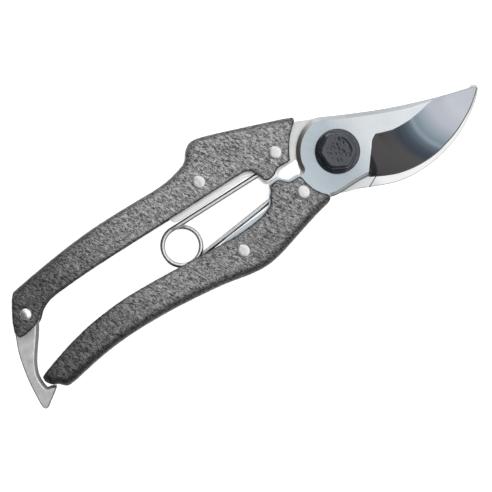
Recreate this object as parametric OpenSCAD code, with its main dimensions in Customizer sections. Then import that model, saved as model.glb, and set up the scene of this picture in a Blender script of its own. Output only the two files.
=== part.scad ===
// Bypass pruning shears with pressed-steel handles, a torsion spring and a swinging catch.
// X runs from the pivot toward the blade tips, Y toward the upper handle, Z up through the pivot.
// The shears lie closed and latched on z = 0, with the origin on the pivot axis.

/* [Handles] */
// Depth of the handle channels, the thickness felt in the hand
shell_depth = 12; // [11:0.5:14]
// Sheet thickness of the pressed handles
sheet = 1.5; // [1.2:0.1:1.8]
// Diameter of the rivet heads on the handles
rivet_head_d = 4.9; // [4.2:0.1:5.5]
// Diameter of the rivet shanks
rivet_shank_d = 3.2; // [2.8:0.1:3.6]
// Height of the rivet heads above the handles
rivet_dome_h = 0.35; // [0.2:0.05:0.5]

/* [Blades] */
// Thickness of each blade
blade_t = 3; // [2.6:0.1:3.2]
// Height of the lower face of the counter blade above the table
counter_z = 3.6; // [3.5:0.1:3.8]
// Running gap between the two blades
blade_gap = 0.1; // [0.06:0.02:0.12]
// Radius of both blades around the pivot
disc_r = 15.3; // [15:0.1:15.5]
// Thickness left under the hollow grind of the cutting blade
ground_t = 1.1; // [0.8:0.1:1.6]

/* [Pivot] */
// Diameter of the pivot bolt
bolt_d = 8; // [7:0.5:9]
// Diameter of the flange on the bolt head
flange_d = 16.8; // [16:0.2:18]
// Thickness of the flange
flange_t = 1.6; // [1.2:0.1:2]
// Width across the flats of the bolt head and the nut
across_flats = 13; // [12:0.5:14]
// Height of the hexagon above the flange
hex_h = 4.2; // [3:0.1:5]
// Thickness of the pivot nut
nut_t = 2.9; // [2.4:0.1:2.9]
// Diameter of the washer between the nut and the counter blade
washer_d = 15.2; // [14:0.2:15.6]

/* [Spring] */
// Wire diameter
wire_d = 1.9; // [1.7:0.1:2]
// Mean radius of the spring's loop
loop_r = 7.15; // [7:0.05:7.3]
// Height of the upper leg's centre line
upper_leg_z = 7.8; // [7.7:0.05:8.2]
// Height of the lower leg's centre line
lower_leg_z = 5.5; // [5.3:0.05:5.6]
// Angle that each arm covers of the loop
loop_sweep = 274; // [270:1:280]

/* [Catch] */
// Thickness of the catch plate
catch_t = 3; // [2:0.1:3.4]
// Diameter of the catch's rivet head
catch_head_d = 4.5; // [4:0.1:5]
// Diameter of the catch's rivet shank
catch_shank_d = 3.4; // [3:0.1:3.6]
// Height of the catch's rivet head above the handle
catch_dome_h = 0.9; // [0.6:0.1:1.2]

/* [Fits] */
// Radial clearance of the parts that turn on a pin
fit = 0.05; // [0.02:0.01:0.1]
// Radial play of the spring's end in the lower tang
end_play = 0.45; // [0.4:0.05:0.6]
// Gap at each side of the catch and under each riveted packer
side_gap = 0.06; // [0.04:0.01:0.1]

/* [Hidden] */
$fn = 48;

cutting_z = counter_z + blade_t + blade_gap;
cutting_top = cutting_z + blade_t;
counter_top = counter_z + blade_t;
inner_top = shell_depth - sheet;
packer_d = 7.4;
spacer_d = 8;
hidden_r = disc_r - 2.3;
corner_turned_d = across_flats * 1.09;

wire_sides = 12;
wire_bend_r = 1.3;
bent_end_margin = 0.4;

catch_mid_z = shell_depth / 2;
catch_z = catch_mid_z - catch_t / 2;
catch_top = catch_mid_z + catch_t / 2;
catch_hub_r = 4.5;

upper_front = [-19.5, 12.5];
upper_rear = [-49, 19.2];
lower_front = [-19, -5.5];
lower_rear = [-49.5, -11.1];
catch_pin = [-129.2, 14.4];
upper_anchor = [-27.5, 9.3];
lower_anchor = [-28, -0.8];
loop_centre = [-67.5, 3.2];

// ---- curves ----

// Point on a Catmull-Rom span between b and c, at t from 0 to 1
function span(a, b, c, d, t) =
    0.5 * (2 * b + (c - a) * t + (2 * a - 5 * b + 4 * c - d) * t * t + (3 * b - a - 3 * c + d) * t * t * t);

// Smooth curve through a few points, n steps to a span, open at both ends
function smooth(p, n = 4) = [
    for (i = [0 : len(p) - 2])
        for (k = [0 : (i == len(p) - 2 ? n : n - 1)])
            span(p[max(i - 1, 0)], p[i], p[i + 1], p[min(i + 2, len(p) - 1)], k / n)
];

// Arc about a centre from one angle to another
function arc(c, r, from, to, n) = [
    for (i = [0 : n])
        let (a = from + (to - from) * i / n)
            [c.x + r * cos(a), c.y + r * sin(a)]
];

function unit(v) = v / norm(v);

// The path moved sideways by d, to the left of its direction when d is positive
function sideways(p, d) = [
    for (i = [0 : len(p) - 1])
        let (t = unit(p[min(i + 1, len(p) - 1)] - p[max(i - 1, 0)]))
            p[i] + d * [-t.y, t.x]
];

// The path carried on in a straight line by d at both ends
function carried_on(p, d) = let (n = len(p) - 1)
    concat([p[0] + d * unit(p[0] - p[1])], p, [p[n] + d * unit(p[n] - p[n - 1])]);

// ---- outlines ----

// Outer bend of the upper handle, from its rear end to its front
upper_back = smooth([
    [-129, 24], [-120, 25.1], [-105, 26.5], [-90, 27.1], [-75, 26.6], [-62, 26], [-54.5, 26.9],
    [-49.5, 28.5], [-46.6, 31.8], [-43, 33.5], [-37.5, 32.2], [-25, 27.4], [-12, 22.2], [-6.5, 19.8]
]);
upper_front_edge = smooth([
    [-7, 18.2], [-10, 15.9], [-12.4, 13.5], [-14.2, 11], [-15.5, 8.9], [-16.4, 7.2]
], 3);
upper_lobe = smooth([
    [-17.6, 6.9], [-20, 7.2], [-22.3, 7], [-24.5, 5.8], [-27.2, 5.5], [-28.6, 6.6], [-29.5, 9.2],
    [-30.5, 11.6], [-32.7, 13]
], 3);
upper_grip = smooth([
    [-36.8, 13.2], [-50, 13.5], [-65, 13.9], [-80, 14.4], [-95, 14.8], [-110, 14.8], [-119, 14.3],
    [-123.5, 12.7], [-127, 9.9], [-130.5, 8.7], [-134.5, 8.3], [-136.3, 8.9], [-136.7, 11]
]);
upper_end = [[-135, 15], [-132.7, 18.8], [-130.7, 21.8]];
upper_outline = concat(upper_back, upper_front_edge, upper_lobe, upper_grip, upper_end);

// Outer bend of the lower handle, from its front to its rear end
lower_back = smooth([
    [-13.2, -13.9], [-20, -15.2], [-30, -17.7], [-38, -19.7], [-45, -20.6], [-52, -19.8], [-62, -17.5],
    [-75, -15.5], [-88, -14.1], [-102, -13.5], [-115, -14.2], [-128, -16.1]
]);
lower_notch = [[-130.8, -16.3], [-132, -15.8], [-134, -13.6], [-135.6, -13], [-136.9, -11.4], [-137.6, -10]];
notch_pocket = [[-131.3, -14.5], [-133.2, -12.2], [-135.2, -11.4], [-136.1, -9.5]];
lower_inner = smooth([
    [-137.5, -8.2], [-130, -5.9], [-120, -3.4], [-110, -1.8], [-97, -1.1], [-85, -1.7], [-74, -2.7],
    [-61, -3.9], [-48, -5], [-38, -4.5], [-33, -3.2], [-31, -1.6], [-30.2, 0.2], [-28.9, 1.2],
    [-28.1, 3.2]
]);
lower_lobe = smooth([[-27.6, 3.5], [-24.3, 3.5], [-22.8, 2.3], [-21.4, 0.8], [-19.5, 0.3], [-16.8, 0.2]], 3);
lower_front_edge = smooth([[-16.3, -0.8], [-15.9, -4.1], [-15, -6.8], [-13.4, -9.5], [-11.6, -11.5]], 3);
lower_outline = concat(lower_back, lower_notch, lower_inner, lower_lobe, lower_front_edge, [[-11.9, -13.1]]);

// Counter blade: the hook's hidden cutting edge, the disc, the shank and the tang with its stop lug
upper_shank = [[-1.2, 15.5]];
hook_inner = smooth([
    [54.3, -7.4], [50, -9], [44, -11.1], [38, -12.9], [32, -14.1], [26, -14.5], [20, -13.9], [15, -11.4]
]);
upper_tang = smooth([
    [-6.4, 18], [-14, 19.6], [-26, 21.6], [-40, 23.6], [-52, 22.8], [-61, 20.2], [-65, 16.8], [-65.6, 13.4],
    [-63.5, 11.6], [-55, 11.3], [-44, 11.1], [-34, 11.2]
]);
upper_stop = [
    [-31.5, 10.6], [-29.9, 8], [-29.2, 5.4], [-28.3, 4.6],
    [-23.4, 4.6], [-22.3, 5.9], [-20.6, 6.3], [-14.2, 6.3]
];
upper_lug = [[-28.2, 4.6], [-23.4, 4.6], [-23.4, 7.5], [-28.2, 7.5]];
hook_outer = smooth([
    [-5.5, -14.3], [-1.5, -15.7], [4.4, -18.5], [10.3, -21.1], [15, -22.5], [20, -23.2], [25, -23.3],
    [30, -22.9], [35, -22], [40, -20.5], [45, -18.4], [50, -15.5], [53.8, -12.8], [56.6, -10.2]
]);
counter_outline = concat(
    [[57.1, -8.6], [55.6, -7.1]], hook_inner,
    arc([0, 0], hidden_r, -35, 72, 14), upper_shank, upper_tang, upper_stop,
    arc([0, 0], disc_r, 160, 242, 14), hook_outer
);

// Cutting blade: the spine, the disc, the stop with its lug, the tang, the heel and the cutting edge
spine = smooth([
    [56.2, -8.6], [53.8, -7.6], [45.6, -5.1], [33.8, -0.8], [22, 4.1], [10.3, 9.8], [4.4, 12.9], [1.2, 14.6]
]);
lower_stop = [[-16.2, 0.9], [-17.4, 1.3], [-21, 1.5], [-22.4, 2.9], [-23.6, 4.3], [-27.9, 4.3], [-28.8, 2.3]];
lower_lug = [[-27.9, 1.2], [-23.8, 1.2], [-23.8, 4.3], [-27.9, 4.3]];
lower_tang = smooth([
    [-30.6, 0.2], [-32, -1.9], [-35, -3.1], [-45, -3.5], [-55, -4.4], [-58, -6.5], [-58.4, -10],
    [-56, -14], [-50, -16.3], [-40, -16.2], [-28, -14.3], [-13, -12.1]
]);
heel = [[-9.7, -13.1], [-4.7, -13.3], [0.3, -13.5], [4.6, -13.9]];
cutting_edge = smooth([
    [4.9, -14.6], [10.3, -17.6], [15, -19.6], [20, -20.8], [25, -21.3], [30, -21.2], [35, -20.3],
    [40, -19], [45, -17], [50, -14.4], [54, -11.6], [56.6, -9.4]
]);
cutting_outline = concat(
    spine, arc([0, 0], disc_r, 93, 164, 16), [[-14.9, 2.2]], lower_stop, lower_tang, heel, cutting_edge
);
// The thinner zone of the cutting blade, where its outer face is ground away to the edge
ground_zone = concat(
    [[4.7, -13.6], [13.3, -3.4], [15.2, -2.4], [18.5, -3.7]],
    smooth([[21.5, -4.7], [25, -5.1], [29, -5.2], [34, -4.7], [40, -4], [47, -6.2], [53, -8.2]]),
    [[60, -9], [50, -28], [4, -28]]
);

// Catch: the hub, the outer edge, the nose and the inner edge
catch_outline = concat(
    arc(catch_pin, catch_hub_r, -60, 150, 16),
    smooth([
        [-136.9, 11.2], [-139.7, 5], [-141.4, -0.5], [-142.8, -7], [-143.6, -13.5], [-143.8, -17.6],
        [-142.5, -18.8], [-140, -17.3], [-137.6, -15.8], [-135.4, -14.2]
    ]),
    [[-135.2, -13.7], [-135.9, -13.1], [-136.9, -12.6]],
    smooth([
        [-138.3, -12.3], [-138.6, -10], [-138.3, -6.8], [-136.9, -3.4], [-135, -0.5], [-132.5, 2.7],
        [-130, 5.8], [-128.2, 8.4]
    ])
);

// ---- building blocks ----

module plate(outline, from, to) {
    translate([0, 0, from])
        linear_extrude(to - from)
            polygon(outline);
}

module pin(at, r, from, to) {
    translate([at.x, at.y, from])
        cylinder(r = r, h = to - from);
}

module ring(at, outer_r, inner_r, from, to) {
    difference() {
        pin(at, outer_r, from, to);
        pin(at, inner_r, from - 1, to + 1);
    }
}

module hexagon(from, to) {
    intersection() {
        translate([0, 0, from])
            rotate(30)
                cylinder(d = across_flats / cos(30), h = to - from, $fn = 6);
        pin([0, 0], corner_turned_d / 2, from, to);
    }
}

// Rivet with its lower head ground flush and its upper head standing proud in a low dome
module rivet(at, head_d, shank_d, proud) {
    cap_r = (head_d * head_d / 4 + proud * proud) / (2 * proud);
    color("gainsboro")
        union() {
            pin(at, shank_d / 2, 0, shell_depth);
            intersection() {
                translate([at.x, at.y, shell_depth + proud - cap_r])
                    sphere(r = cap_r);
                pin(at, head_d, shell_depth, shell_depth + proud);
            }
        }
}

// Two round packers that fill the channel under and over a blade's tang
module packers(at, under, over) {
    color("slategray") {
        ring(at, packer_d / 2, rivet_shank_d / 2 + fit, sheet, under - side_gap);
        ring(at, packer_d / 2, rivet_shank_d / 2 + fit, over + side_gap, inner_top);
    }
}

// Round wire along a path; each point has its own sideways direction, square to the path
module wire(path, sideways) {
    n = len(path);
    rings = [
        for (i = [0 : n - 1])
            let (t = unit(path[min(i + 1, n - 1)] - path[max(i - 1, 0)]))
                for (k = [0 : wire_sides - 1])
                    let (a = 360 * k / wire_sides)
                        path[i] + wire_d / 2 * (cos(a) * sideways[i] + sin(a) * cross(t, sideways[i]))
    ];
    skin = [
        for (i = [0 : n - 2], k = [0 : wire_sides - 1])
            let (here = i * wire_sides, ahead = here + wire_sides, next = (k + 1) % wire_sides)
                [here + k, here + next, ahead + next, ahead + k]
    ];
    first_end = [for (k = [0 : wire_sides - 1]) wire_sides - 1 - k];
    last_end = [for (k = [0 : wire_sides - 1]) (n - 1) * wire_sides + k];
    polyhedron(points = rings, faces = concat(skin, [first_end, last_end]));
}

// Arm of the spring: the end bent into its hole, the straight leg and this arm's part of the loop
module spring_arm(anchor, z, end_z, side) {
    along = anchor - loop_centre;
    touch = atan2(along.y, along.x) + side * acos(loop_r / norm(along));
    leg = [cos(touch - side * 90), sin(touch - side * 90)];
    way = sign(end_z - z);
    bent_end = concat(
        [[anchor.x, anchor.y, end_z]],
        [for (a = [0 : 22.5 : 90])
            let (back = wire_bend_r * (1 - cos(a)), rise = wire_bend_r * (1 - sin(a)))
                [anchor.x - back * leg.x, anchor.y - back * leg.y, z + way * rise]]
    );
    turn = [for (i = [0 : 20]) touch + side * loop_sweep * i / 20];
    loop = [for (a = turn) [loop_centre.x + loop_r * cos(a), loop_centre.y + loop_r * sin(a), z]];
    outward = [for (a = concat([for (p = bent_end) touch], turn)) [cos(a), sin(a), 0]];
    wire(concat(bent_end, loop), outward);
}

// ---- sub-parts ----

module cutting_blade() {
    color("lightsteelblue")
        difference() {
            union() {
                difference() {
                    plate(cutting_outline, cutting_z, cutting_top);
                    plate(ground_zone, cutting_z + ground_t, cutting_top + 1);
                }
                plate(lower_lug, counter_z, cutting_z);
            }
            pin([0, 0], bolt_d / 2 + fit, 0, shell_depth);
            pin(lower_front, rivet_shank_d / 2 + fit, 0, shell_depth);
            pin(lower_rear, rivet_shank_d / 2 + fit, 0, shell_depth);
            pin(lower_anchor, wire_d / 2 + end_play, 0, shell_depth);
        }
}

module counter_blade() {
    color("lightgray")
        difference() {
            union() {
                plate(counter_outline, counter_z, counter_top);
                plate(upper_lug, counter_top, cutting_top);
            }
            pin([0, 0], bolt_d / 2 + fit, 0, shell_depth);
            pin(upper_front, rivet_shank_d / 2 + fit, 0, shell_depth);
            pin(upper_rear, rivet_shank_d / 2 + fit, 0, shell_depth);
            pin(upper_anchor, wire_d / 2 + fit, 0, shell_depth);
        }
}

module upper_handle_shell() {
    bend = carried_on(sideways(upper_back, -sheet), 20);
    pocket = concat(bend, [[10, -20], [-160, -20]]);
    color("dimgray")
        difference() {
            plate(upper_outline, 0, shell_depth);
            plate(pocket, sheet, inner_top);
            pin(upper_front, rivet_shank_d / 2 + fit, -1, shell_depth + 1);
            pin(upper_rear, rivet_shank_d / 2 + fit, -1, shell_depth + 1);
            pin(catch_pin, catch_shank_d / 2 + fit, -1, shell_depth + 1);
        }
}

module lower_handle_shell() {
    bend = carried_on(sideways(lower_back, -sheet), 20);
    // The outer wall stops at the heel of the blade in front and at the catch's notch behind
    bend_between = [for (i = [1 : len(bend) - 2]) bend[i]];
    pocket = concat([[10, -20], [-13, -20]], bend_between, notch_pocket, [[-136.1, 10], [10, 10]]);
    color("dimgray")
        difference() {
            plate(lower_outline, 0, shell_depth);
            plate(pocket, sheet, inner_top);
            pin(lower_front, rivet_shank_d / 2 + fit, -1, shell_depth + 1);
            pin(lower_rear, rivet_shank_d / 2 + fit, -1, shell_depth + 1);
        }
}

module pivot_bolt() {
    seat = cutting_top + side_gap;
    color("black")
        union() {
            pin([0, 0], bolt_d / 2, 0, seat);
            pin([0, 0], flange_d / 2, seat, seat + flange_t);
            hexagon(seat + flange_t, seat + flange_t + hex_h);
        }
}

module pivot_washer() {
    color("silver")
        ring([0, 0], washer_d / 2, bolt_d / 2 + fit, nut_t + side_gap, counter_z - side_gap);
}

module pivot_nut() {
    color("black")
        difference() {
            hexagon(0, nut_t);
            pin([0, 0], bolt_d / 2 + fit, -1, nut_t + 1);
        }
}

module spring_upper_arm() {
    color("silver")
        spring_arm(upper_anchor, upper_leg_z, counter_z + bent_end_margin, 1);
}

module spring_lower_arm() {
    color("silver")
        spring_arm(lower_anchor, lower_leg_z, cutting_top - bent_end_margin, -1);
}

module catch() {
    color("darkgray")
        difference() {
            plate(catch_outline, catch_z, catch_top);
            pin(catch_pin, catch_shank_d / 2 + fit, 0, shell_depth);
        }
}

module catch_rivet() {
    rivet(catch_pin, catch_head_d, catch_shank_d, catch_dome_h);
}

module catch_spacers() {
    color("slategray") {
        ring(catch_pin, spacer_d / 2, catch_shank_d / 2 + fit, sheet, catch_z - side_gap);
        ring(catch_pin, spacer_d / 2, catch_shank_d / 2 + fit, catch_top + side_gap, inner_top);
    }
}

module upper_front_rivet() {
    rivet(upper_front, rivet_head_d, rivet_shank_d, rivet_dome_h);
}

module upper_rear_rivet() {
    rivet(upper_rear, rivet_head_d, rivet_shank_d, rivet_dome_h);
}

module lower_front_rivet() {
    rivet(lower_front, rivet_head_d, rivet_shank_d, rivet_dome_h);
}

module lower_rear_rivet() {
    rivet(lower_rear, rivet_head_d, rivet_shank_d, rivet_dome_h);
}

module upper_front_packers() {
    packers(upper_front, counter_z, counter_top);
}

module upper_rear_packers() {
    packers(upper_rear, counter_z, counter_top);
}

module lower_front_packers() {
    packers(lower_front, cutting_z, cutting_top);
}

module lower_rear_packers() {
    packers(lower_rear, cutting_z, cutting_top);
}

cutting_blade();
counter_blade();
upper_handle_shell();
lower_handle_shell();
pivot_bolt();
pivot_washer();
pivot_nut();
spring_upper_arm();
spring_lower_arm();
catch();
catch_rivet();
catch_spacers();
upper_front_rivet();
upper_rear_rivet();
lower_front_rivet();
lower_rear_rivet();
upper_front_packers();
upper_rear_packers();
lower_front_packers();
lower_rear_packers();
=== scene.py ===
import math

import bmesh
import bpy
import numpy as np
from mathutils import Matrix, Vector, noise
from mathutils.geometry import delaunay_2d_cdt


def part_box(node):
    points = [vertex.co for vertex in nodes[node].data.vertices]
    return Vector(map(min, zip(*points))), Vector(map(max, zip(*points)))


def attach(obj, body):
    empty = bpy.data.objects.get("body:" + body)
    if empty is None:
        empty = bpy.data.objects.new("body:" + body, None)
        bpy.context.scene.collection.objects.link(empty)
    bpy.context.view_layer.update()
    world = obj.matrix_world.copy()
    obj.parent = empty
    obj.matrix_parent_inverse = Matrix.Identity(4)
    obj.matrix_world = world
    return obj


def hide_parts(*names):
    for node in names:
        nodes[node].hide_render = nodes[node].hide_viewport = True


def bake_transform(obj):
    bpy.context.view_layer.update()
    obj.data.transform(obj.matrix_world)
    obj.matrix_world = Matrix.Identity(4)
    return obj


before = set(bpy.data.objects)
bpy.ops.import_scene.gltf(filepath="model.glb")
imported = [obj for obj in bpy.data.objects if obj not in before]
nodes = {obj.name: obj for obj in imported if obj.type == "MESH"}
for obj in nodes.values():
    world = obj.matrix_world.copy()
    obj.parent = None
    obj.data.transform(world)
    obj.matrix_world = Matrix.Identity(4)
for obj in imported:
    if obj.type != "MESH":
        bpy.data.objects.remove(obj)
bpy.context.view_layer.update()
MM = 0.001


# ---------------------------------------------------------------- camera, floor and light

def camera():
    """Looks straight down on the shears, turned so that the blades point up and to the right."""
    data = bpy.data.cameras.new("camera")
    eye = bpy.data.objects.new("camera", data)
    bpy.context.scene.collection.objects.link(eye)
    height, top_of_handles = 700 * MM, 10 * MM
    seen = 492 / 2.7 * MM  # 492 pixels at 2.7 pixels to the millimetre
    data.sensor_width = 36
    data.lens = data.sensor_width * height / seen
    eye.location = (-47.7 * MM, -10.1 * MM, height + top_of_handles)
    eye.rotation_euler = (0, 0, math.radians(-34))
    bpy.context.scene.camera = eye


def floor():
    """White paper under the shears."""
    bm = bmesh.new()
    bmesh.ops.create_grid(bm, x_segments=4, y_segments=4, size=2)
    piece = from_bmesh("floor", bm)
    piece.location.z = -0.02 * MM
    mat, tree, shader = material("white_paper")
    put(shader, base=(0.9, 0.9, 0.9), rough=0.9, specular=0.1)
    shader.inputs["Emission Color"].default_value = (1, 1, 1, 1)
    shader.inputs["Emission Strength"].default_value = 0.8
    bump(tree, shader, noise_node(tree, 900, detail=3), strength=0.05, distance=0.05 * MM)
    piece.data.materials.append(mat)


def area_light(name, place, aim, size, radiance, colour=(1, 1, 1)):
    data = bpy.data.lights.new(name, "AREA")
    data.shape = "RECTANGLE"
    data.size, data.size_y = size
    data.energy = radiance * math.pi * size[0] * size[1]
    data.color = colour
    lamp = bpy.data.objects.new(name, data)
    lamp.location = place
    lamp.rotation_euler = (Vector(aim) - Vector(place)).to_track_quat("-Z", "Y").to_euler()
    bpy.context.scene.collection.objects.link(lamp)


def lights():
    """A large soft panel overhead that ends above the catch, a lamp beyond the blades, and a dim room."""
    area_light("overhead", (0.58, 0, 1.2), (0.58, 0, 0), (1.4, 2.0), 0.93, (0.985, 0.99, 1))
    area_light("key", (0.2, 1.0, 0.45), (-0.04, 0, 0), (0.8, 0.3), 2.6)
    world = bpy.data.worlds.new("studio")
    bpy.context.scene.world = world
    world.use_nodes = True
    tree = world.node_tree
    sky = tree.nodes["Background"]
    place = tree.nodes.new("ShaderNodeTexCoord")
    axes = tree.nodes.new("ShaderNodeSeparateXYZ")
    tree.links.new(place.outputs["Generated"], axes.inputs["Vector"])
    across = spread(tree, axes.outputs["X"], -1, 1, 0, 1)
    room = ramp(tree, across, [(0.0, (0.1, 0.09, 0.07)), (0.3, (0.25, 0.25, 0.24)), (0.6, 0.6), (1.0, 0.8)])
    tree.links.new(room, sky.inputs["Color"])
    sky.inputs["Strength"].default_value = 0.75
    view = bpy.context.scene.view_settings
    view.view_transform = "Standard"
    view.look = "None"


# ---------------------------------------------------------------- material building blocks

def material(name):
    mat = bpy.data.materials.new(name)
    mat.use_nodes = True
    return mat, mat.node_tree, mat.node_tree.nodes["Principled BSDF"]


def put(shader, base=None, rough=None, metal=None, specular=None, coat=None, coat_rough=None):
    """Constants, set on the shader's own sockets."""
    if base is not None:
        shader.inputs["Base Color"].default_value = (*base, 1)
    for socket, value in (("Roughness", rough), ("Metallic", metal), ("Specular IOR Level", specular),
                          ("Coat Weight", coat), ("Coat Roughness", coat_rough)):
        if value is not None:
            shader.inputs[socket].default_value = value


def stretched(tree, scale=(1, 1, 1), turn=0.0):
    """Object coordinates, turned about Z by turn degrees and then scaled."""
    place = tree.nodes.new("ShaderNodeTexCoord")
    spin = tree.nodes.new("ShaderNodeMapping")
    spin.inputs["Rotation"].default_value = (0, 0, math.radians(turn))
    size = tree.nodes.new("ShaderNodeMapping")
    size.inputs["Scale"].default_value = scale
    tree.links.new(place.outputs["Object"], spin.inputs["Vector"])
    tree.links.new(spin.outputs["Vector"], size.inputs["Vector"])
    return size.outputs["Vector"]


def noise_node(tree, scale, detail=2.0, rough=0.5, distortion=0.0, vector=None):
    node = tree.nodes.new("ShaderNodeTexNoise")
    node.inputs["Scale"].default_value = scale
    node.inputs["Detail"].default_value = detail
    node.inputs["Roughness"].default_value = rough
    node.inputs["Distortion"].default_value = distortion
    tree.links.new(vector or stretched(tree), node.inputs["Vector"])
    return node.outputs["Fac"]


def ramp(tree, fac, stops):
    """Colour ramp; a stop is (place, grey or colour)."""
    node = tree.nodes.new("ShaderNodeValToRGB")
    marks = node.color_ramp.elements
    while len(marks) < len(stops):
        marks.new(0.5)
    for mark, (place, value) in zip(marks, stops):
        mark.position = place
        mark.color = (*value, 1) if isinstance(value, tuple) else (value, value, value, 1)
    tree.links.new(fac, node.inputs["Fac"])
    return node.outputs["Color"]


def spread(tree, fac, low, high, to_low, to_high):
    """An output moved from one range to another, and held at its ends."""
    node = tree.nodes.new("ShaderNodeMapRange")
    for socket, value in (("From Min", low), ("From Max", high), ("To Min", to_low), ("To Max", to_high)):
        node.inputs[socket].default_value = value
    tree.links.new(fac, node.inputs["Value"])
    return node.outputs["Result"]


def product(tree, a, b):
    """Two colours multiplied."""
    node = tree.nodes.new("ShaderNodeMix")
    node.data_type = "RGBA"
    node.blend_type = "MULTIPLY"
    sockets = {s.identifier: s for s in node.inputs}
    sockets["Factor_Float"].default_value = 1
    tree.links.new(a, sockets["A_Color"])
    tree.links.new(b, sockets["B_Color"])
    return next(s for s in node.outputs if s.identifier == "Result_Color")


def math_node(tree, how, a, b):
    """Arithmetic on an output and another output or a number."""
    node = tree.nodes.new("ShaderNodeMath")
    node.operation = how
    tree.links.new(a, node.inputs[0])
    if isinstance(b, (int, float)):
        node.inputs[1].default_value = b
    else:
        tree.links.new(b, node.inputs[1])
    return node.outputs["Value"]


def weighed(tree, a, share_a, b, share_b):
    """The sum of two outputs, each times its share."""
    a, b = math_node(tree, "MULTIPLY", a, share_a), math_node(tree, "MULTIPLY", b, share_b)
    return math_node(tree, "ADD", a, b)


def bump(tree, shader, height, strength, distance):
    node = tree.nodes.new("ShaderNodeBump")
    node.inputs["Strength"].default_value = strength
    node.inputs["Distance"].default_value = distance
    tree.links.new(height, node.inputs["Height"])
    tree.links.new(node.outputs["Normal"], shader.inputs["Normal"])


def position(tree, axis):
    """The object coordinate along one axis, in metres."""
    place = tree.nodes.new("ShaderNodeTexCoord")
    axes = tree.nodes.new("ShaderNodeSeparateXYZ")
    tree.links.new(place.outputs["Object"], axes.inputs["Vector"])
    return axes.outputs[axis]


# ---------------------------------------------------------------- materials

def brushed(name, dark, light, rough, turn, tint_along_x=None):
    """Ground steel: fine parallel grinding marks, turned by turn degrees, over a slow cloudiness.
    The last argument, if given, lists (x in mm, grey or colour) that the steel is multiplied by along the
    blade."""
    mat, tree, shader = material(name)
    marks = noise_node(tree, 2200, detail=3, rough=0.6, vector=stretched(tree, (0.05, 1, 1), turn))
    cloud = noise_node(tree, 60, detail=3)
    colour = ramp(tree, weighed(tree, marks, 0.55, cloud, 0.45), [(0.35, dark), (0.65, light)])
    if tint_along_x:
        first, last = tint_along_x[0][0], tint_along_x[-1][0]
        along = spread(tree, position(tree, "X"), first * MM, last * MM, 0, 1)
        tint_ramp = ramp(tree, along, [((x - first) / (last - first), value) for x, value in tint_along_x])
        colour = product(tree, colour, tint_ramp)
    tree.links.new(colour, shader.inputs["Base Color"])
    tree.links.new(spread(tree, marks, 0.3, 0.7, rough - 0.06, rough + 0.08), shader.inputs["Roughness"])
    bump(tree, shader, marks, strength=0.1, distance=0.02 * MM)
    put(shader, metal=1)
    return mat


def painted_mirror():
    """Polished hollow grind whose base colour is a painted reflection: dark near the heel, blue in the middle,
    pale toward the tip. The bands cross the blade. They sway a little, and bend toward the tip near the
    cutting edge."""
    mat, tree, shader = material("mirror_steel_painted_reflection")
    heel_x, tip_x = 4 * MM, 57 * MM
    straight_above, bend_over, bend_by = -8 * MM, 12 * MM, 4 * MM
    lean = noise_node(tree, 45, detail=1)
    sway = math_node(tree, "MULTIPLY", math_node(tree, "SUBTRACT", lean, 0.5), 4 * MM)
    below = math_node(tree, "MULTIPLY", math_node(tree, "SUBTRACT", position(tree, "Y"), straight_above), -1)
    below = math_node(tree, "MAXIMUM", below, 0)
    squared = math_node(tree, "MULTIPLY", below, below)
    lag = math_node(tree, "MULTIPLY", squared, -bend_by / bend_over**2)
    bent = math_node(tree, "ADD", math_node(tree, "ADD", position(tree, "X"), lag), sway)
    along = spread(tree, bent, heel_x, tip_x, 0, 1)
    polish = noise_node(tree, 1500, detail=3, vector=stretched(tree, (1, 0.04, 1), -15))
    # Painted reflection: the hollow's base colour runs from dark at the heel through blue to pale at the tip.
    tone = ramp(tree, along, [
        (0.0, (0.048, 0.048, 0.055)), (0.1, (0.053, 0.05, 0.055)), (0.15, (0.056, 0.054, 0.055)),
        (0.3, (0.064, 0.063, 0.063)), (0.36, (0.038, 0.046, 0.058)), (0.41, (0.052, 0.066, 0.083)),
        (0.46, (0.096, 0.12, 0.145)), (0.49, (0.2, 0.24, 0.28)), (0.52, (0.16, 0.2, 0.235)),
        (0.57, (0.23, 0.27, 0.31)), (0.64, (0.34, 0.36, 0.4)), (0.78, (0.4, 0.42, 0.46)),
        (1.0, (0.36, 0.38, 0.41))
    ])
    tree.links.new(tone, shader.inputs["Base Color"])
    tree.links.new(spread(tree, polish, 0.3, 0.7, 0.1, 0.16), shader.inputs["Roughness"])
    bump(tree, shader, polish, strength=0.04, distance=0.015 * MM)
    put(shader, metal=1)
    return mat


def wrinkled_coat():
    """Grey wrinkle finish: short raised folds with creases between them, with painted shade in the creases and
    painted highlight on the folds. The mesh attribute called tone holds painted shade and painted light that
    make it darker or lighter from place to place."""
    mat, tree, shader = material("wrinkled_coat")
    folds = noise_node(tree, 1450, distortion=1.1, vector=stretched(tree, (0.5, 1, 1), 64))
    fine = noise_node(tree, 2600)
    patches = noise_node(tree, 60)
    height = weighed(tree, folds, 0.84, fine, 0.16)
    # The base colour follows the fold height: painted shade in the creases, painted highlight on the fold
    # tops.
    tone = ramp(tree, height, [(0.38, 0.085), (0.46, 0.21), (0.53, 0.33), (0.62, 0.52)])
    shade_of = ramp(tree, patches, [(0.3, (0.93, 0.915, 0.93)), (0.7, (0.98, 0.98, 1.0))])
    painted = tree.nodes.new("ShaderNodeAttribute")
    painted.attribute_name = "tone"
    colour = product(tree, product(tree, tone, shade_of), painted.outputs["Color"])
    tree.links.new(colour, shader.inputs["Base Color"])
    tree.links.new(spread(tree, height, 0.35, 0.65, 0.5, 0.32), shader.inputs["Roughness"])
    bump(tree, shader, height, strength=1.0, distance=0.3 * MM)
    put(shader, specular=0.5, metal=0.6)
    return mat


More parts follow.
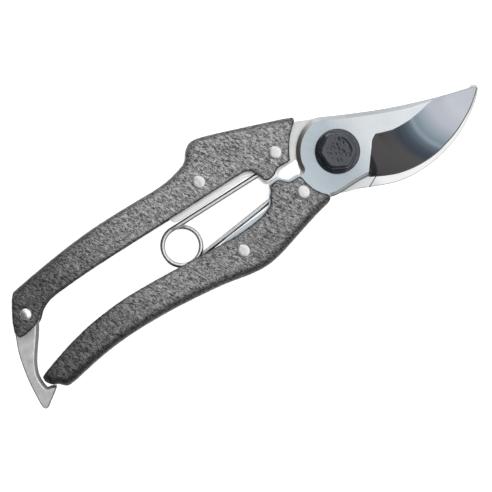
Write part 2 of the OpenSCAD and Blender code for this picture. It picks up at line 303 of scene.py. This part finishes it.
def black_gloss():
    """Glossy blue-black finish over slightly uneven steel."""
    mat, tree, shader = material("black_gloss")
    swell = noise_node(tree, 420)
    colour = ramp(tree, swell, [(0.3, (0.008, 0.013, 0.026)), (0.7, (0.022, 0.032, 0.055))])
    tree.links.new(colour, shader.inputs["Base Color"])
    tree.links.new(spread(tree, swell, 0.3, 0.7, 0.12, 0.22), shader.inputs["Roughness"])
    bump(tree, shader, swell, strength=0.25, distance=0.1 * MM)
    put(shader, specular=0.3, coat=1.0, coat_rough=0.05)
    return mat


def satin(name, dark, light, rough, scale=500.0):
    """Metal with a fine even grain, neither brushed nor polished."""
    mat, tree, shader = material(name)
    grain = noise_node(tree, scale, detail=4, rough=0.6)
    tree.links.new(ramp(tree, grain, [(0.3, dark), (0.7, light)]), shader.inputs["Base Color"])
    tree.links.new(spread(tree, grain, 0.3, 0.7, rough - 0.06, rough + 0.06), shader.inputs["Roughness"])
    bump(tree, shader, grain, strength=0.15, distance=0.05 * MM)
    put(shader, metal=1)
    return mat


# ---------------------------------------------------------------- outlines

def section(node, z):
    """The closed outlines of a CAD node cut at height z, as arrays of (x, y).
    The largest comes first, and all run counter-clockwise."""
    bm = bmesh.new()
    bm.from_mesh(nodes[node].data)
    bmesh.ops.remove_doubles(bm, verts=bm.verts, dist=2e-6)
    whole = bm.verts[:] + bm.edges[:] + bm.faces[:]
    bmesh.ops.bisect_plane(bm, geom=whole, dist=1e-8, plane_co=(0, 0, z), plane_no=(0, 0, 1),
                           clear_inner=True, clear_outer=True)
    left = dict.fromkeys(bm.verts)
    found = []
    while left:
        here = next(iter(left))
        loop = []
        while here is not None:
            del left[here]
            loop.append(here.co.to_2d())
            beside = [e.other_vert(here) for e in here.link_edges]
            here = next((v for v in beside if v in left), None)
        if len(loop) > 3:
            found.append(np.array(loop))
    bm.free()
    found.sort(key=lambda loop: -abs(area(loop)))
    return [spaced(loop if area(loop) > 0 else loop[::-1]) for loop in found]


def spaced(loop, least=0.12 * MM):
    """The loop without points that lie closer together than least."""
    kept = [loop[0]]
    for p in loop[1:]:
        if np.linalg.norm(p - kept[-1]) > least:
            kept.append(p)
    return np.array(kept)


def area(loop):
    """Area of a closed loop, negative where it runs clockwise."""
    x, y = loop[:, 0], loop[:, 1]
    return 0.5 * float(np.sum(x * np.roll(y, -1) - y * np.roll(x, -1)))


def closed(loop):
    return np.vstack([loop, loop[:1]])


def unit(v):
    return v / np.maximum(np.linalg.norm(v, axis=-1, keepdims=True), 1e-12)


def refined(loop, step, corner=24.0):
    """The closed loop with points no further apart than step. It is rounded between its old points, except
    where it turns by more than corner degrees."""
    ahead = unit(np.roll(loop, -1, 0) - loop)
    behind = np.roll(ahead, 1, 0)
    bend = np.degrees(np.arccos(np.clip(np.sum(ahead * behind, 1), -1, 1)))
    way = unit(ahead + behind)
    out = []
    for i in range(len(loop)):
        j = (i + 1) % len(loop)
        a, b = loop[i], loop[j]
        gap = np.linalg.norm(b - a)
        from_a = b - a if bend[i] > corner else way[i] * gap
        to_b = b - a if bend[j] > corner else way[j] * gap
        count = max(1, math.ceil(gap / step))
        for t in np.arange(count) / count:
            out.append((2 * t**3 - 3 * t**2 + 1) * a + (t**3 - 2 * t**2 + t) * from_a
                       + (3 * t**2 - 2 * t**3) * b + (t**3 - t**2) * to_b)
    return np.array(out)


def stretch_of(loop, start, end):
    """The part of a counter-clockwise loop from the point nearest start to the one nearest end, both in mm."""
    i, j = (int(np.argmin(np.linalg.norm(loop - np.array(p) * MM, axis=1))) for p in (start, end))
    return loop[i : j + 1] if i <= j else np.vstack([loop[i:], loop[: j + 1]])


def inward(line, d):
    """A stretch of a counter-clockwise outline moved inward by d, which may differ from point to point."""
    t = unit(np.gradient(line, axis=0))
    return line + np.column_stack([-t[:, 1], t[:, 0]]) * np.reshape(d, (-1, 1))


def distance(points, line):
    """Distance from each point to an open line."""
    out = np.full(len(points), np.inf)
    for start, run in zip(line[:-1], line[1:] - line[:-1]):
        length = run @ run
        if length > 1e-16:
            t = np.clip((points - start) @ run / length, 0, 1)
            out = np.minimum(out, np.linalg.norm(points - start - t[:, None] * run, axis=1))
    return out


def inside(points, loop):
    """Which of the points lie within a closed loop."""
    x, y = points[:, 0], points[:, 1]
    crossed = np.zeros(len(points), bool)
    for (x0, y0), (x1, y1) in zip(loop, np.roll(loop, -1, 0)):
        if y0 != y1:
            crossed ^= ((y0 > y) != (y1 > y)) & (x < (x1 - x0) * (y - y0) / (y1 - y0) + x0)
    return crossed


# ---------------------------------------------------------------- mesh building blocks

def from_bmesh(name, bm, sharp=30.0):
    mesh = bpy.data.meshes.new(name)
    bmesh.ops.recalc_face_normals(bm, faces=bm.faces)
    bm.to_mesh(mesh)
    bm.free()
    piece = bpy.data.objects.new(name, mesh)
    bpy.context.scene.collection.objects.link(piece)
    shade(piece, sharp)
    return piece


def shade(piece, sharp):
    """Smooth shading, with an edge left sharp where it turns by more than sharp degrees."""
    mesh = piece.data
    mesh.polygons.foreach_set("use_smooth", [True] * len(mesh.polygons))
    mesh.set_sharp_from_angle(angle=math.radians(sharp))


def plate(bm, loop, top, bottom, step, creases=(), holes=(), rim=0.12 * MM):
    """Adds a solid between two height functions over a closed outline, and returns its upper faces.
    A surface may turn sharply along the creases, which are open lines. Outer edges are softened by rim."""
    points, edges = [], []

    def add(line, is_closed):
        first = len(points)
        points.extend(line)
        edges.extend((first + i, first + i + 1) for i in range(len(line) - 1))
        if is_closed:
            edges.append((first + len(line) - 1, first))

    walls = [closed(loop), *[closed(hole) for hole in holes]]
    for line in (loop, *holes):
        add(line, True)
    for line in creases:
        line = line[inside(line, loop)]
        if len(line) > 1:
            add(line, False)
    if rim:
        soft = inward(closed(loop), rim)
        clear = distance(soft, closed(loop)) > 0.9 * rim
        for cut in np.split(np.arange(len(soft)), np.flatnonzero(~clear)):
            run = soft[[i for i in cut if clear[i]]]
            if len(run) > 1:
                add(run, False)
    low, high = loop.min(0), loop.max(0)
    xs = np.arange(low[0], high[0], step)
    ys = np.arange(low[1], high[1], step * 0.87)
    grid = np.array([(x + (k % 2) * step / 2, y) for k, y in enumerate(ys) for x in xs])
    grid = grid[inside(grid, loop)]
    for line in (*walls, *creases):
        grid = grid[distance(grid, line) > step * 0.45]
    points.extend(grid)
    flat, _, faces, *_ = delaunay_2d_cdt([Vector(p) for p in points], edges, [], 1, 1e-7)
    flat = np.array([(v.x, v.y) for v in flat])
    middle = np.array([flat[list(f)].mean(0) for f in faces])
    keep = inside(middle, loop)
    for hole in holes:
        keep &= ~inside(middle, hole)
    faces = [tuple(f) for f, kept in zip(faces, keep) if kept]
    used = sorted({i for f in faces for i in f})
    upper, lower = top(flat), bottom(flat)
    if rim:
        gap = np.maximum(rim - distance(flat, walls[0]), 0)
        drop = rim - np.sqrt(rim**2 - gap**2)
        upper, lower = upper - drop, lower + drop
    thin = upper - lower < 0.02 * MM
    mean = (upper + lower) / 2
    upper, lower = np.where(thin, mean + 0.01 * MM, upper), np.where(thin, mean - 0.01 * MM, lower)
    tops = {i: bm.verts.new((*flat[i], upper[i])) for i in used}
    bottoms = {i: bm.verts.new((*flat[i], lower[i])) for i in used}
    border = set()
    made = []
    for f in faces:
        made.append(bm.faces.new([tops[i] for i in f]))
        bm.faces.new([bottoms[i] for i in reversed(f)])
        for a, b in zip(f, f[1:] + f[:1]):
            if (b, a) in border:
                border.discard((b, a))
            else:
                border.add((a, b))
    for a, b in sorted(border):
        bm.faces.new([tops[b], tops[a], bottoms[a], bottoms[b]])
    return made


def block(bm, low, high, bevel):
    """Adds a box with softened edges."""
    made = bmesh.ops.create_cube(bm, size=1)["verts"]
    for v in made:
        v.co = Vector([lo + (c + 0.5) * (hi - lo) for c, lo, hi in zip(v.co, low, high)])
    sides = list({e for v in made for e in v.link_edges})
    bmesh.ops.bevel(bm, geom=sides, offset=bevel, segments=2, profile=0.5, affect="EDGES")


def turned(name, centre, rings, count, sharp=35.0, wobble=0.0, bored=False):
    """A solid of stacked rings about a vertical axis. A ring is (z, radius), and a radius may depend on the
    angle. The ends are capped, or the last ring joins the first where it is bored."""
    bm = bmesh.new()
    angles = np.linspace(0, 2 * np.pi, count, endpoint=False)
    rows = []
    for z, radius in rings:
        row = []
        for a in angles:
            r = radius(a) if callable(radius) else radius
            spot = Vector((centre[0] + r * math.cos(a), centre[1] + r * math.sin(a), z))
            spot.z += wobble * noise.noise(spot * 900)
            row.append(bm.verts.new(spot))
        rows.append(row)
    skin(bm, rows + rows[:1] if bored else rows, capped=not bored)
    return from_bmesh(name, bm, sharp)


def skin(bm, rows, capped=True):
    """Joins rings of vertices, each to the next, and closes the two ends where they are capped."""
    count = len(rows[0])
    for below, above in zip(rows, rows[1:]):
        for i in range(count):
            j = (i + 1) % count
            bm.faces.new((below[i], below[j], above[j], above[i]))
    if capped:
        bm.faces.new(rows[0][::-1])
        bm.faces.new(rows[-1])


def paint(faces, kind):
    """Gives each face the material slot that kind lists for it."""
    for f, index in zip(faces, kind):
        f.material_index = int(index)


def finish_piece(piece, body, replaced, slot, *mats):
    """Gives a piece its materials and its body, and hides the CAD nodes it stands for. The slot is not used.
    """
    for mat in mats:
        piece.data.materials.append(mat)
    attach(piece, body)
    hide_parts(*replaced)


def centre_of(node):
    low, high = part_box(node)
    return (low + high) / 2


# ---------------------------------------------------------------- blades

BLADE_T = 3.0 * MM
CHAMFER = math.tan(math.radians(31))


def constant(z):
    return lambda p: np.full(len(p), z)


def lug(bm, node, cut_z, low_z, high_z):
    """Adds the block on the inner side of a tang, as wide as the CAD node is at height cut_z."""
    outline = section(node, cut_z)[0]
    block(bm, (*outline.min(0), low_z), (*outline.max(0), high_z), 0.25 * MM)


def cutting_blade(*steels):
    """Disc and spine with a chamfered edge, and a hollow-ground face that runs out to the cutting edge.
    The steels are those of the flat, the grind (painted reflection), the spine's chamfer, the back's chamfer,
    and painted shadow along the back's lower edge and the cutting edge."""
    top_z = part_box("cutting_blade")[1].z
    low_z = top_z - BLADE_T
    outer, *holes = section("cutting_blade", low_z + 0.5 * MM)
    thick = section("cutting_blade", top_z - 0.5 * MM)[0]
    outline = refined(outer, 0.6 * MM)
    edge = stretch_of(outline, (4.9, -14.6), (56.6, -9.4))
    spine = stretch_of(outline, (56.2, -8.6), (-15.2, 1.6))
    back = stretch_of(outline, (-11.5, -12.6), (4.9, -14.6))
    thick = refined(thick, 0.5 * MM)
    free = distance(thick, closed(outline)) > 0.25 * MM
    begin = int(np.argmin(free))
    thick, free = np.roll(thick, -begin, 0), np.roll(free, -begin)
    shoulder = thick[free]
    if shoulder[0, 0] > shoulder[-1, 0]:
        shoulder = shoulder[::-1]
    near_tip = inward(spine, 0.12 * MM)[::-1]
    shoulder = np.vstack([shoulder[shoulder[:, 0] < 43 * MM], near_tip[near_tip[:, 0] > 45.5 * MM]])
    past_edge = np.array([(58, -9), (56, -25), (4, -25)]) * MM
    grind = np.vstack([shoulder, past_edge])
    spine_width, back_width, back_line, honed = 1.6 * MM, 1.4 * MM, 0.34 * MM, 0.42 * MM
    taper_from, taper_run, tip_drop = 43.5 * MM, 12.5 * MM, 2.55 * MM
    edge_t = 0.4 * MM

    def bevel_width(x):
        """The spine's chamfer narrows toward the tip."""
        return spine_width * np.clip((48 * MM - x) / (16 * MM), 0.22, 1)

    def top(p):
        toward_tip = np.clip((p[:, 0] - taper_from) / taper_run, 0, 1)
        at_spine = tip_drop * toward_tip**1.3
        z = top_z - at_spine
        z -= np.maximum(bevel_width(p[:, 0]) - distance(p, spine), 0) * CHAMFER
        z -= np.maximum(back_width - distance(p, back), 0) * CHAMFER
        from_shoulder = distance(p, shoulder)
        u = from_shoulder / np.maximum(from_shoulder + distance(p, edge), 1e-9)
        hollow = at_spine + (BLADE_T - edge_t - at_spine) * (1 - (1 - u) ** (1.6 - 0.4 * toward_tip))
        hollow += np.maximum(honed - distance(p, edge), 0) * 1.1
        return np.where(inside(p, grind), np.minimum(z, top_z - hollow), z)

    creases = [shoulder, inward(spine, bevel_width(spine[:, 0])), inward(edge, honed)]
    creases += [inward(back, back_width), inward(back, back_line)]
    bm = bmesh.new()
    faces = plate(bm, outline, top, constant(low_z), 0.75 * MM, creases, holes, rim=0.06 * MM)
    centres = np.array([f.calc_center_median()[:2] for f in faces])
    # The grind's faces get the painted reflection.
    kind = np.where(inside(centres, grind), 1, 0)
    kind[distance(centres, spine) < bevel_width(centres[:, 0])] = 2
    kind[(distance(centres, back) < back_width) & (kind == 0)] = 3
    # Painted shadow: a thin near-black line along the back's lower edge and along the honed cutting edge.
    kind[(distance(centres, back) < back_line) | (distance(centres, edge) < honed)] = 4
    paint(faces, kind)
    lug(bm, "cutting_blade", low_z - 1 * MM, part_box("cutting_blade")[0].z, low_z + 0.2 * MM)
    piece = from_bmesh("cutting_blade_ground", bm, 20)
    finish_piece(piece, "lower_half", ["cutting_blade"], "cutting_blade", *steels)


def counter_blade(*steels):
    """The hook that the cutting blade passes, bevelled on its outer curve and relieved under its inner one.
    The steels are those of the flat, the bevel, and a near-black one for painted shadow in the groove."""
    low_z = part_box("counter_blade")[0].z
    top_z = low_z + BLADE_T
    outer, *holes = section("counter_blade", low_z + 1.5 * MM)
    outline = refined(outer, 0.7 * MM)
    outer_curve = stretch_of(outline, (-1.5, -15.7), (56.6, -10.2))
    inner_curve = stretch_of(outline, (54.3, -7.4), (15, -11.4))
    width, relief, groove = 0.35 * MM, 2.6 * MM, 0.16 * MM
    root = np.linspace((9.5 * MM, -14.47 * MM), (2.4 * MM, -17.68 * MM), 12)

    def top(p):
        return top_z - np.maximum(width - distance(p, outer_curve), 0) * 0.8 - step_down(p)

    def step_down(p):
        """The hook is ground a little lower than the disc, from a groove across its root."""
        beyond = 4.2 * (p[:, 1] + 15.6 * MM) - 1.9 * (p[:, 0] - 7 * MM) < 0
        return np.where(beyond, 0.12 * MM, 0) + np.maximum(groove - distance(p, root), 0)

    def bottom(p):
        rise = np.maximum(relief - distance(p, inner_curve), 0) * 0.75
        return low_z + rise + np.maximum(width - distance(p, outer_curve), 0) * 0.8

    creases = [inward(outer_curve, width), inward(inner_curve, relief)]
    creases += [root, inward(root, groove), inward(root, -groove)]
    bm = bmesh.new()
    faces = plate(bm, outline, top, bottom, 0.9 * MM, creases, holes, rim=0.1 * MM)
    centres = np.array([f.calc_center_median()[:2] for f in faces])
    kind = np.where(distance(centres, outer_curve) < width, 1, 0)
    # Painted shadow in the groove across the hook's root.
    kind[distance(centres, root) < groove] = 2
    paint(faces, kind)
    lug(bm, "counter_blade", top_z + 1 * MM, top_z - 0.2 * MM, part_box("counter_blade")[1].z)
    piece = from_bmesh("counter_blade_ground", bm, 20)
    finish_piece(piece, "upper_half", ["counter_blade"], "counter_blade", *steels)


# ---------------------------------------------------------------- handles

def cover(name, node, body, bend_from, bend_to, coat, bend_painted_shade, bend_reach, painted_light_by_x):
    """A pressed channel: two flanges joined by a wall, with a round bend along each side of the wall.
    Painted shade darkens its coat along the cut edges, and near the bend by the fraction that the argument
    after coat gives, within bend_reach. From end to end painted light sets how light it is, from the last
    argument, which lists x in mm and then how light."""
    low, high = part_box(node)
    sheet, radius = 1.5 * MM, 3.2 * MM
    outer, *holes = section(node, high.z - sheet / 2)
    outline = refined(outer, 0.6 * MM)
    bend = stretch_of(outline, bend_from, bend_to)
    cut = stretch_of(outline, bend_to, bend_from)
    inner = radius - sheet

    def rolled(p):
        gap = np.maximum(radius - distance(p, bend), 0)
        return radius - np.sqrt(np.maximum(radius**2 - gap**2, 0))

    def rolled_inside(p):
        gap = np.clip(radius - distance(p, bend), 0, inner)
        return inner - np.sqrt(inner**2 - gap**2)

    def crowned(p):
        """The flange falls away a little toward its cut edge."""
        return 0.3 * MM * np.clip(1 - distance(p, cut) / (2.6 * MM), 0, 1) ** 2

    def over(p):
        return rolled(p) + crowned(p)

    def under(p):
        return sheet + rolled_inside(p) + crowned(p) + 0.02 * MM

    step = 0.8 * MM
    lines = [inward(bend, d * MM) for d in (0.3, 0.8, 1.5, 2.2, 3.2)]
    flange = {"step": step, "creases": lines, "holes": holes, "rim": 0.4 * MM}
    bm = bmesh.new()
    plate(bm, outline, lambda p: high.z - over(p), lambda p: high.z - under(p), **flange)
    plate(bm, outline, lambda p: low.z + under(p), lambda p: low.z + over(p), **flange)
    wall = np.vstack([bend, inward(bend, sheet)[::-1]])
    plate(bm, wall, constant(high.z - radius), constant(low.z + radius), step, rim=0)
    piece = from_bmesh(name, bm)
    remesh = piece.modifiers.new("one_skin", "REMESH")
    remesh.mode = "VOXEL"
    remesh.voxel_size = 0.4 * MM
    applied(piece)
    spots = np.array([v.co.to_2d() for v in piece.data.vertices])
    # Painted shade along the cut edges and the bend, and painted light from end to end, kept in the mesh
    # attribute that the coat multiplies its colour by.
    tone = 1 - 0.8 * np.exp(-((distance(spots, cut) / (0.55 * MM)) ** 2))
    tone *= 1 - bend_painted_shade * np.exp(-((distance(spots, bend) / bend_reach) ** 4))
    tone *= np.interp(spots[:, 0] / MM, *painted_light_by_x)
    piece.data.attributes.new("tone", "FLOAT", "POINT").data.foreach_set("value", tone)
    wrinkle(piece, 0.09 * MM, 1.1 * MM)
    shade(piece, 80)
    finish_piece(piece, body, [node], "handle_coat", coat)


def applied(piece):
    """Replaces the mesh by what its modifiers make of it."""
    seen = piece.evaluated_get(bpy.context.evaluated_depsgraph_get())
    mesh = bpy.data.meshes.new_from_object(seen)
    piece.modifiers.clear()
    piece.data = mesh


def wrinkle(piece, height, size):
    """Moves the surface in and out in small irregular folds, but not below the table."""
    mesh = piece.data
    count = len(mesh.vertices)
    spots, normals = np.empty(count * 3), np.empty(count * 3)
    mesh.vertices.foreach_get("co", spots)
    mesh.vertices.foreach_get("normal", normals)
    spots, normals = spots.reshape(-1, 3), normals.reshape(-1, 3)
    places = [Vector(p) / size for p in spots]
    folds = np.array([noise.noise(p) + 0.5 * noise.noise(p * 2.1) for p in places])
    spots += normals * (folds * height)[:, None]
    spots[:, 2] = np.maximum(spots[:, 2], 0)
    mesh.vertices.foreach_set("co", spots.ravel())
    mesh.update()


# ---------------------------------------------------------------- pivot, rivets and catch

HEX_CORNER = 7.08 * MM


def hexagon(across, corner):
    """Radius of a hexagon with turned-off corners, at an angle. One flat faces along X."""
    def radius(a):
        off = (a + math.radians(30)) % math.radians(60) - math.radians(30)
        return min(across / 2 / math.cos(off), corner)
    return radius


def pivot_bolt(black):
    """Shank, round flange and rounded hexagon, with a shallow pitted hollow in the top."""
    low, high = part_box("pivot_bolt")
    flange_r = (high.x - low.x) / 2
    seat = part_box("cutting_blade")[1].z + 0.06 * MM
    flange_top = seat + 1.6 * MM
    across = 13 * MM
    shank = 4 * MM
    hex_r = hexagon(across, HEX_CORNER)

    def shrunk(by, corner):
        """The hexagon moved in by so many mm, with its corners so many mm from the axis."""
        return hexagon(across - 2 * by * MM, corner * MM)

    rings = [
        (low.z, shank - 0.5 * MM), (low.z + 0.5 * MM, shank), (seat, shank),
        (seat, flange_r - 0.25 * MM), (seat + 0.07 * MM, flange_r - 0.07 * MM), (seat + 0.25 * MM, flange_r),
        (flange_top - 0.6 * MM, flange_r), (flange_top - 0.3 * MM, flange_r - 0.1 * MM),
        (flange_top - 0.1 * MM, flange_r - 0.3 * MM), (flange_top, flange_r - 0.65 * MM),
        (flange_top + 0.1 * MM, lambda a: hex_r(a) + 0.35 * MM),
        (flange_top + 0.35 * MM, lambda a: hex_r(a) + 0.05 * MM), (flange_top + 0.6 * MM, hex_r),
        (high.z - 0.8 * MM, hex_r), (high.z - 0.5 * MM, shrunk(0.06, 6.95)),
        (high.z - 0.38 * MM, shrunk(0.14, 6.86)), (high.z - 0.09 * MM, shrunk(0.58, 6.4)),
        (high.z, shrunk(0.98, 6)), (high.z, 4.9 * MM)
    ]
    rings += [(high.z - 0.12 * MM, r * MM) for r in np.arange(4.6, 0.1, -0.2)]
    piece = turned("pivot_bolt_head", (0, 0), rings, count=144, wobble=0.05 * MM)
    pitted(piece, 4.7 * MM, high.z, 0.24 * MM)
    finish_piece(piece, "upper_half", ["pivot_bolt"], "black_steel", black)


def pitted(piece, reach, top_z, depth):
    """Sinks irregular pits into the middle of a flat top, as a rough casting has."""
    for v in piece.data.vertices:
        r = math.hypot(v.co.x, v.co.y)
        if r < reach and v.co.z > top_z - 0.3 * MM:
            lump = noise.noise(v.co * 1100) + 0.4 * noise.noise(v.co * 2300)
            v.co.z -= depth * max(lump, 0) * min(1, (reach - r) / (0.8 * MM))


def pivot_nut(black):
    """Chamfered hexagon nut with a plain bore."""
    low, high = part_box("pivot_nut")
    bore = 4.05 * MM
    hex_r = hexagon(min(high.x - low.x, high.y - low.y), HEX_CORNER)
    rings = [
        (high.z - 0.3 * MM, bore), (high.z, bore + 0.3 * MM), (high.z, 6.3 * MM),
        (high.z - 0.45 * MM, hex_r), (low.z + 0.45 * MM, hex_r), (low.z, 6.3 * MM),
        (low.z, bore + 0.3 * MM), (low.z + 0.3 * MM, bore)
    ]
    piece = turned("pivot_nut_chamfered", (0, 0), rings, count=96, sharp=30, bored=True)
    finish_piece(piece, "upper_half", ["pivot_nut"], "black_steel", black)


def rivet(node, head_r, shank_r, body, bright, face, fullness=0.45):
    """Set rivet: a low round head on the seen side, and a flush one on the other.
    The head is flat with a turned-down rim at a fullness near 0, and a plain dome at 1."""
    low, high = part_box(node)
    rise = high.z - face
    rings = [(low.z, shank_r - 0.25 * MM), (low.z + 0.12 * MM, shank_r), (face - 0.5 * MM, shank_r),
             (face - 0.5 * MM, head_r - 0.1 * MM), (face - 0.1 * MM, head_r)]
    for t in (0.12, 0.3, 0.5, 0.7, 0.85, 0.95):
        a = t * math.pi / 2
        rings.append((face + rise * math.sin(a), head_r * math.cos(a) ** fullness))
    rings.append((high.z, 0.1 * MM))
    piece = turned(node + "_set", centre_of(node), rings, count=48, wobble=0.05 * MM)
    finish_piece(piece, body, [node], "rivet_steel", bright)


def catch(steel, shaded_steel):
    """Flat hooked plate, chamfered along its hollow side and its back. Chamfers and walls get the second
    steel, a darker copy of the first: painted shade.
    """
    low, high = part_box("catch")
    outer, *holes = section("catch", (low.z + high.z) / 2)
    outline = refined(outer, 0.5 * MM)
    hollow = stretch_of(outline, (-135.2, -13.7), (-126.95, 10.5))
    back = stretch_of(outline, (-136.9, 11.2), (-135.4, -14.2))
    wide, narrow = 1.0 * MM, 0.4 * MM

    def chamfer(p):
        return (np.maximum(wide - distance(p, hollow), 0) * 0.42
                + np.maximum(narrow - distance(p, back), 0) * 0.8)

    def top(p):
        return high.z - chamfer(p)

    def bottom(p):
        return low.z + chamfer(p)

    bm = bmesh.new()
    creases = [inward(hollow, wide), inward(back, narrow)]
    plate(bm, outline, top, bottom, 0.7 * MM, creases, holes, rim=0.06 * MM)
    bm.normal_update()
    # Faces that slope away from flat get the darker copy of the steel: painted shade.
    paint(bm.faces, [abs(f.normal.z) < 0.96 for f in bm.faces])
    piece = from_bmesh("catch_plate", bm, 25)
    finish_piece(piece, "catch", ["catch"], "catch_steel", steel, shaded_steel)


# ---------------------------------------------------------------- spring

WIRE_R = 0.95 * MM
LOOP_R = 7.15 * MM


def wire(name, path, radius=WIRE_R):
    """Round wire along a path of points; radius is one number or one for each point."""
    radii = np.broadcast_to(radius, len(path))
    angles = np.linspace(0, 2 * math.pi, 20, endpoint=False)
    bm = bmesh.new()
    rows = []
    across = None
    for i, spot in enumerate(path):
        way = (path[min(i + 1, len(path) - 1)] - path[max(i - 1, 0)]).normalized()
        if across is None:
            across = way.orthogonal().normalized()
        across = (across - way * across.dot(way)).normalized()
        up = way.cross(across)
        rows.append([bm.verts.new(spot + float(radii[i]) * (math.cos(a) * across + math.sin(a) * up))
                     for a in angles])
    skin(bm, rows)
    return from_bmesh(name, bm, 50)


def spring(bright):
    """One wire: an end bent into its tang, a straight leg, about a turn and a half of loop, and then the
    other leg and its end."""
    anchor = Vector((-27.5 * MM, 9.3 * MM, 0))
    lower_anchor = Vector((-28 * MM, -0.8 * MM, 0))
    centre = Vector((-67.5 * MM, 3.2 * MM, 0))
    high_z, low_z = 7.8 * MM, 5.5 * MM

    def touch(at, side):
        along = at - centre
        return math.atan2(along.y, along.x) + side * math.acos(LOOP_R / along.length)

    def on_loop(a, z):
        return Vector((centre.x + LOOP_R * math.cos(a), centre.y + LOOP_R * math.sin(a), z))

    def leg(at, side, z, end_z):
        """Points from the bent end to the loop, and a little way round it."""
        a0 = touch(at, side)
        out = Vector((math.cos(a0 - side * math.pi / 2), math.sin(a0 - side * math.pi / 2), 0))
        up = 1 if end_z > z else -1
        bend = 1.3 * MM
        points = [Vector((at.x, at.y, end_z))]
        for k in range(9):
            a = math.radians(90) * k / 8
            lift = up * bend * (1 - math.sin(a))
            points.append(Vector((at.x, at.y, z + lift)) - out * bend * (1 - math.cos(a)))
        start, end = points[-1], on_loop(a0, z)
        points += [start.lerp(end, k / 12) for k in range(1, 13)]
        points += [on_loop(a0 + side * math.radians(3 * k), z) for k in range(1, 8)]
        radii = [WIRE_R] * (len(points) - 7) + [WIRE_R - 0.06 * MM] * 7
        return points, radii

    first = touch(anchor, 1)
    sweep = (touch(lower_anchor, -1) - first) % (2 * math.pi) + 2 * math.pi
    turn = math.radians(185)
    drop = sweep - 2 * turn
    loop = []
    for k in range(181):
        a = sweep * k / 180
        t = min(max((a - turn) / drop, 0), 1)
        loop.append(on_loop(first + a, high_z + (low_z - high_z) * t * t * (3 - 2 * t)))
    middle = wire("spring_loop", loop)
    middle.data.materials.append(bright)
    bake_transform(middle)
    finish_piece(wire("spring_upper_leg", *leg(anchor, 1, high_z, 4.0 * MM)), "spring_upper",
                 ["spring_upper_arm"], "spring_wire", bright)
    finish_piece(wire("spring_lower_leg", *leg(lower_anchor, -1, low_z, 9.3 * MM)), "spring_lower",
                 ["spring_lower_arm"], "spring_wire", bright)


# ---------------------------------------------------------------- the scene

camera()
floor()
lights()

blade_steel = brushed("blade_steel", (0.53, 0.565, 0.59), (0.67, 0.695, 0.71), 0.3, 55, tint_along_x=[
    (-16, (0.82, 0.87, 0.91)), (-6, (0.68, 0.73, 0.77)), (2, (0.68, 0.72, 0.76)), (12, 1.0), (40, 1.0)
])
# The counter blade's steel is near white and at full strength over the tang: painted light where the tang lies
# in the handle's shade. It is multiplied darker toward the disc and the tip.
counter_steel = brushed("counter_steel", (0.91, 0.92, 0.91), (1.0, 1.0, 0.98), 0.34, 20, tint_along_x=[
    (-66, 1.0), (-30, 1.0), (-17, (0.78, 0.78, 0.76)), (-6, (0.64, 0.65, 0.66)), (5, (0.68, 0.7, 0.73)),
    (8, 0.83), (46, 0.81), (55, 0.57), (58, 0.57)
])
bevel_steel = brushed("bevel_steel", (0.63, 0.65, 0.66), (0.76, 0.78, 0.79), 0.34, 0)
hook_steel = brushed("hook_steel", (0.72, 0.73, 0.74), (0.82, 0.83, 0.84), 0.34, 0)
# A near-black steel for painted shadow along the blade's edges and in the groove.
painted_shadow_steel = brushed("painted_shadow_steel", (0.08, 0.085, 0.09), (0.16, 0.165, 0.17), 0.34, 0)
spine_steel = brushed("spine_steel", (0.385, 0.4, 0.415), (0.49, 0.505, 0.52), 0.42, 0, tint_along_x=[
    (-16, (1.0, 0.95, 0.88)), (-6, (1.0, 0.95, 0.88)), (3, 1.0), (50, 1.0)
])
catch_steel = satin("catch_steel", (0.71, 0.71, 0.71), (0.89, 0.89, 0.89), 0.42)
# A darker copy of the catch's steel for its chamfers and walls: painted shade.
catch_painted_shade = satin("catch_painted_shade", (0.17, 0.17, 0.17), (0.25, 0.25, 0.25), 0.45)
rivet_steel = satin("rivet_steel", (0.62, 0.62, 0.62), (0.78, 0.78, 0.77), 0.34, scale=900)
dome_steel = satin("dome_steel", (0.88, 0.88, 0.88), (1.0, 1.0, 0.99), 0.24, scale=900)
wire_steel = satin("wire_steel", (0.55, 0.55, 0.54), (0.72, 0.72, 0.71), 0.22, scale=1200)
inner_steel = satin("inner_steel", (0.3, 0.3, 0.31), (0.42, 0.42, 0.43), 0.4)
black = black_gloss()
coat = wrinkled_coat()

cutting_blade(blade_steel, painted_mirror(), spine_steel, bevel_steel, painted_shadow_steel)
counter_blade(counter_steel, hook_steel, painted_shadow_steel)
# The last three arguments of each cover give its painted shade along the bend, how far that shade reaches, and
# its painted light from end to end, as x in mm and then how light.
cover("upper_cover", "upper_handle_shell", "upper_half", (-6.5, 19.8), (-129, 24), coat, 0.7, 1.7 * MM,
      ((-130, -118, -100, -80, -62, -45, -5), (0.48, 0.45, 0.8, 1.2, 1.22, 1.22, 1.15)))
cover("lower_cover", "lower_handle_shell", "lower_half", (-137.5, -8.2), (-13.2, -13.9), coat, 0.8, 2.8 * MM,
      ((-136, -124, -100, -80, -64, -40, -10), (0.38, 0.44, 0.76, 1.1, 1.1, 0.98, 1.06)))
pivot_bolt(black)
pivot_nut(black)
face_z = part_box("upper_handle_shell")[1].z
for side in ("upper", "lower"):
    for end in ("front", "rear"):
        rivet(f"{side}_{end}_rivet", 2.45 * MM, 1.6 * MM, side + "_half", rivet_steel, face_z)
rivet("catch_rivet", 2.25 * MM, 1.7 * MM, "upper_half", dome_steel, face_z, 1.0)
catch(catch_steel, catch_painted_shade)
spring(wire_steel)
for name in ("pivot_washer", "catch_spacers", "upper_front_packers", "upper_rear_packers",
             "lower_front_packers", "lower_rear_packers"):
    nodes[name].data.materials.clear()
    nodes[name].data.materials.append(inner_steel)
